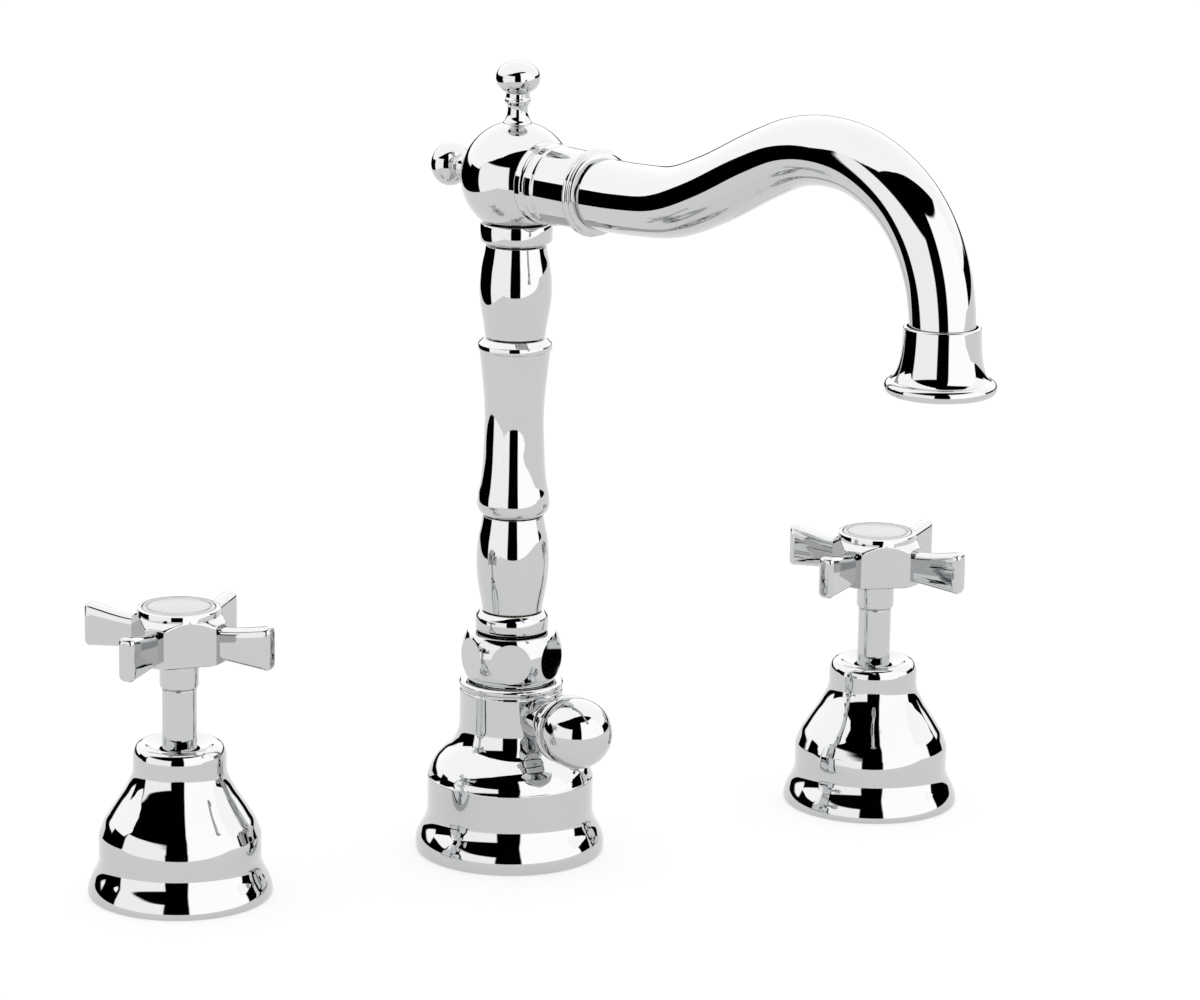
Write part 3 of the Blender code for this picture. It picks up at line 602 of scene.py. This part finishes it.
spout = {
    "route": [(31.5, 177.8), (45.0, 178.2), (57.7, 179.6), (71.1, 184.6), (88.0, 193.0), (99.0, 197.4),
              (109.5, 198.8), (121.5, 197.2), (133.6, 190.9), (141.0, 182.8), (145.4, 173.2), (147.1, 163.0),
              (147.1, 157.0)],
    "radius": (9.1, 7.8),
    "outlet": 147.1,
    "union": [(7.2, 9.9), (10.2, 9.9), (10.4, 10.3), (10.4, 12.2), (9.75, 12.7), (9.75, 13.5), (10.3, 13.9),
              (10.3, 16.0), (9.95, 16.4), (9.9, 17.0), (9.9, 27.6), (9.5, 28.1), (7.2, 28.1)],
    "flange": [(7.2, 28.25), (10.4, 28.25), (11.0, 28.5), (11.2, 29.0), (11.0, 29.5), (10.5, 29.85),
               (10.35, 30.1), (10.6, 30.4), (10.65, 30.8), (10.3, 31.2), (9.6, 31.4), (7.2, 31.4)],
    "outletBead": (11.65, 148.65, 1.65, -100, 75, 16),
    "outletFlare": [(9.15, 162.7), (9.2, 161.0), (9.35, 158.2), (9.7, 155.2), (10.25, 152.8), (11.0, 151.1),
                    (11.75, 150.3)],
    "outletInside": [(9.4, 147.6), (9.4, 156.6), (8.3, 156.9), (8.3, 163.0), (8.85, 163.0)],
    "former": {"face": 149.2, "ribFoot": 148.5, "ribs": [(1.0, 2.0), (3.2, 4.2), (5.4, 6.4)],
               "rim": [(7.2, 149.2), (7.2, 147.6), (9.0, 147.6), (9.0, 154.6), (0, 154.6)]},
}


def swanNeck(look):  # a bent tube that narrows evenly along its route
    route = flowing(look["route"], 7)
    sides = 64
    wide, narrow = look["radius"]
    spans = [sqrt((b[0] - a[0]) ** 2 + (b[1] - a[1]) ** 2) for a, b in zip(route, route[1:])]
    layers, gone = [], 0.0
    for number, here in enumerate(route):
        before, after = route[max(number - 1, 0)], route[min(number + 1, len(route) - 1)]
        ahead = Vector((after[0] - before[0], 0, after[1] - before[1])).normalized()
        up = Vector((-ahead.z, 0, ahead.x))
        radius = wide + (narrow - wide) * gone / sum(spans)
        middle = Vector((here[0], 0, here[1]))
        layers.append([middle + (up * cos(a) + Vector((0, 1, 0)) * sin(a)) * radius
                       for a in [2 * pi * i / sides for i in range(sides)]])
        gone += spans[number] if number < len(spans) else 0.0
    placed("swan_neck", lofted(layers), "spout", "chrome", ["spout_tube"], spoutFrame)


def spoutEnds(look):
    along = spoutFrame @ at(z=hub["height"], lean=90)
    placed("union_sleeve", spun(eased(look["union"], 0.2), 96), "spout", "chrome", ["spout_union"], along)
    placed("union_beads", spun(eased(look["flange"], 0.15), 96), "spout", "chrome", ["spout_flange_ring"],
           along)
    outline = arc(*look["outletBead"]) + flowing(look["outletFlare"][::-1], 4) + look["outletInside"][::-1]
    down = spoutFrame @ at(x=look["outlet"])
    placed("outlet_cup", spun(eased(outline, 0.15, 34), 112), "spout", "chrome", ["outlet_bell"], down)
    face, ribFoot = look["former"]["face"], look["former"]["ribFoot"]
    rings = [(0, face)]
    for inner, outer in look["former"]["ribs"]:
        rings += [(inner, face), (inner, ribFoot), (outer, ribFoot), (outer, face)]
    rings += look["former"]["rim"]
    placed("stream_former", spun(eased(rings, 0.12), 72), "spout", "chrome", ["aerator"], down)


hubAndFinials(hub)
swanNeck(spout)
spoutEnds(spout)
print("spout built")


# Below the deck: threads and backnuts

sideClamp = {"radius": 10.2, "low": -49.5, "high": -0.6, "pitch": 1.6, "nutFlats": 29.0, "bore": 10.6}
clamps = {
    "hot": {"node": "hot_backnut", **sideClamp},
    "cold": {"node": "cold_backnut", **sideClamp},
    "spout": {"node": "spout_backnut", "radius": 13.8, "low": -39.6, "high": -1.0, "pitch": 1.8,
              "nutFlats": 36.0, "bore": 14.2},
}
thread = {
    "around": 40, "depth": 0.32, "buried": 0.1, "halfWidth": 0.4,  # the half width is a share of the pitch
    "runOut": 14, "runOutDepth": 0.05,  # steps over which each end fades, and the share of depth it fades to
}
nutEnd = [(0.0, -2.2), (0.55, -1.1), (1.1, -0.3), (1.5, 0.1)]  # (in from an end, reach beyond a corner)


def screwThread(look):  # one long ridge of triangular section, wound round the shank
    around = thread["around"]
    count = int((look["high"] - look["low"]) / look["pitch"] * around)
    foot, crest = look["radius"] - thread["buried"], look["radius"] + thread["depth"]
    half = look["pitch"] * thread["halfWidth"]
    layers = []
    for i in range(count + 1):
        turn = 2 * pi * i / around
        z = look["low"] + look["pitch"] * i / around
        ease = max(min(1.0, i / thread["runOut"], (count - i) / thread["runOut"]), thread["runOutDepth"])
        layers.append([(r * cos(turn), r * sin(turn), z + dz)
                       for r, dz in ((foot, -half), (foot + (crest - foot) * ease, 0.0), (foot, half))])
    return lofted(layers)


def backnut(look):  # hexagon with both ends turned down at the corners
    flats, bore = look["nutFlats"] / 2, look["bore"]
    low, high = [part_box(look["node"])[k][2] / mm for k in (0, 1)]
    corner = flats / cos(pi / 6)
    steps = 96
    turns = [2 * pi * i / steps for i in range(steps)]
    reaches = [flats / cos((a % (pi / 3)) - pi / 6) for a in turns]
    rows = [(low + inward, corner + beyond) for inward, beyond in nutEnd]
    rows += [(high - inward, corner + beyond) for inward, beyond in reversed(nutEnd)]
    layers = [[(min(reach, limit) * cos(a), min(reach, limit) * sin(a), z)
               for a, reach in zip(turns, reaches)] for z, limit in rows]
    layers += [[(bore * cos(a), bore * sin(a), z) for a in turns] for z in (high, low)]
    return lofted(layers, loop=True)


for name, look in clamps.items():
    x = middleOf(look["node"])[0]
    placed(name + "_thread", screwThread(look), "stand", "brass", where=at(x))
    placed(name + "_lock_nut", backnut(look), "stand", "brass", [look["node"]], at(x), sharp=20)
print("clamps built")


# The CAD pieces that stay

slotOf = {row["node"]: row["material_slot"] for row in frame["record"]["subparts"]}
for name, node in frame["nodes"].items():
    for place in node.material_slots:
        place.material = finishes[slotOf[name]]
print("carried-over pieces finished:", len(slotOf))


# Studio

studio = {
    "cameraSide": -116.3,  # direction of the camera from the mixer, in degrees from +X
    "floorFront": 560.0, "floorLeft": 430.0, "floorFar": 6000.0,
    "floorGlow": 0.62, "floorGrey": (0.42, 0.44),
    # the panel overhead, seen only in reflections: its front edge as (right, front) of the mixer
    "panel": {"height": 553.0, "back": -2500.0, "strength": 1.62,
              "edge": [(-1800, 100), (-900, 170), (-500, 280), (-230, 285), (0, 210), (130, 155), (430, 70),
                       (1800, 70)]},
    # bearings in degrees from the camera's own, positive towards its right; heights from the horizon
    "backWall": 1.58,  # its strength; it is seen at every bearing beyond the flags
    "farGap": 7.0,  # top of the dark gap between the table and the wall behind it
    "leftCard": (-84.0, -16.0, -90.0, 27.0, 1.50),  # (left, right, foot, top, strength)
    "rightCard": (16.0, 98.0, -90.0, 50.0, 1.74),
    "flags": [(-114.0, -84.0, -90.0, 9.0), (99.0, 128.0, -90.0, 34.0)],
    "lowest": -90.0, "highest": 95.0,
    "soft": 1.2,
}


def studioWorld(look):
    world = bpy.data.worlds.new("studio")
    bpy.context.scene.world = world
    world.use_nodes = True
    tree = world.node_tree
    tree.nodes.clear()
    start = Socket(tree)
    towards = start.node("ShaderNodeTexCoord", output=0)
    turn = radians(look["cameraSide"])
    front = towards.dot((cos(turn), sin(turn), 0))
    right = towards.dot((-sin(turn), cos(turn), 0))
    up = towards.part("Z")
    bearing = start.maths("ARCTAN2", right, front) * (180 / pi)
    height = start.maths("ARCSINE", up) * (180 / pi)
    soft = look["soft"]

    def card(left, rightEdge, foot, top):
        inside = bearing.above(left, soft) * (1 - bearing.above(rightEdge, soft))
        return inside * height.above(foot, soft) * (1 - height.above(top, soft))

    behind = 1 - card(look["flags"][0][0], look["flags"][1][1], look["lowest"], look["highest"])
    light = behind * height.above(look["farGap"], soft) * look["backWall"]
    for edges in (look["leftCard"], look["rightCard"]):
        light = start.maths("MAXIMUM", light, card(*edges[:4]) * edges[4])
    for edges in look["flags"]:
        light = light * (1 - card(*edges))
    seen = start.node("ShaderNodeLightPath", output=3)  # 1 for reflected rays, which see the cards
    grey = start.node("ShaderNodeCombineColor", inputs={0: light, 1: light, 2: light})
    mirrored = start.node("ShaderNodeBackground", inputs={"Color": grey, "Strength": 1.0})
    plain = start.node("ShaderNodeBackground", inputs={"Color": (1, 1, 1, 1), "Strength": 1.0})
    mix = start.node("ShaderNodeMixShader", inputs={0: seen, 1: plain, 2: mirrored})
    start.node("ShaderNodeOutputWorld", inputs={0: mix})


def planeMesh(name, corners, height, look):  # corners as (front, right) of the mixer, seen from the camera
    turn = radians(look["cameraSide"])
    front, right = Vector((cos(turn), sin(turn), 0)), Vector((-sin(turn), cos(turn), 0))
    bm = bmesh.new()
    bm.faces.new([bm.verts.new((front * f + right * r + Vector((0, 0, height))) * mm) for f, r in corners])
    mesh = bpy.data.meshes.new(name)
    bm.to_mesh(mesh)
    bm.free()
    return mesh


def stagePiece(name, mesh, material):
    mesh.materials.append(material)
    piece = bpy.data.objects.new(name, mesh)
    bpy.context.scene.collection.objects.link(piece)
    return piece


def table(look):  # white, in three slabs: only the first is seen in reflections
    material, shader, where = newFinish("white_table", Roughness=0.8, Specular_IOR_Level=0.0,
                                        Emission_Color=(1, 1, 1, 1), Emission_Strength=look["floorGlow"])
    darkGrey, lightGrey = look["floorGrey"]
    feed(shader, "Base Color", where.noise(3.0, 2.0).tint((darkGrey,) * 3, (lightGrey,) * 3))
    front, left, far = look["floorFront"], -look["floorLeft"], look["floorFar"]
    for name, corners, mirrored in (
            ("table", [(front, left), (front, far), (-far, far), (-far, left)], True),
            ("table_front", [(front, -far), (far, -far), (far, far), (front, far)], False),
            ("table_left", [(-far, -far), (front, -far), (front, left), (-far, left)], False)):
        slab = stagePiece(name, planeMesh(name, corners, 0.0, look), material)
        slab.visible_glossy = mirrored


def overheadPanel(look):
    panel = look["panel"]
    edge = [(f, r) for r, f in panel["edge"]]
    outline = edge + [(panel["back"], edge[-1][1]), (panel["back"], edge[0][1])]
    material, shader, where = newFinish("light_panel", Roughness=1.0, Base_Color=(0, 0, 0, 1),
                                        Emission_Strength=panel["strength"])
    feed(shader, "Emission Color", where.noise(1.5, 1.0).tint((0.98, 0.98, 0.98), (1, 1, 1)))
    slab = stagePiece("overhead_panel", planeMesh("overhead_panel", outline, panel["height"], look), material)
    slab.visible_camera = slab.visible_diffuse = slab.visible_shadow = False


view = {"azimuth": -26.339, "elevation": 13.721, "roll": 0.918, "distance": 1200.0, "lens": 139.92,
        "across": 22.3, "height": 94.1}


def camera(look):
    az, el, roll = (radians(look[k]) for k in ("azimuth", "elevation", "roll"))
    back = Vector((sin(az) * cos(el), -cos(az) * cos(el), sin(el)))
    right = Vector((cos(az), sin(az), 0))
    up = back.cross(right)
    across = right * cos(roll) + up * sin(roll)
    upward = up * cos(roll) - right * sin(roll)
    target = right * look["across"] + Vector((0, 0, look["height"]))
    lens = bpy.data.cameras.new("camera")
    lens.lens = look["lens"]
    lens.sensor_width = 36.0
    lens.clip_start, lens.clip_end = 0.01, 50.0
    made = bpy.data.objects.new("camera", lens)
    bpy.context.scene.collection.objects.link(made)
    made.matrix_world = Matrix.Translation((target + back * look["distance"]) * mm) @ Matrix(
        (across, upward, back)).transposed().to_4x4()
    bpy.context.scene.camera = made


studioWorld(studio)
table(studio)
overheadPanel(studio)
camera(view)
bpy.context.scene.view_settings.view_transform = "Standard"
print("studio ready")
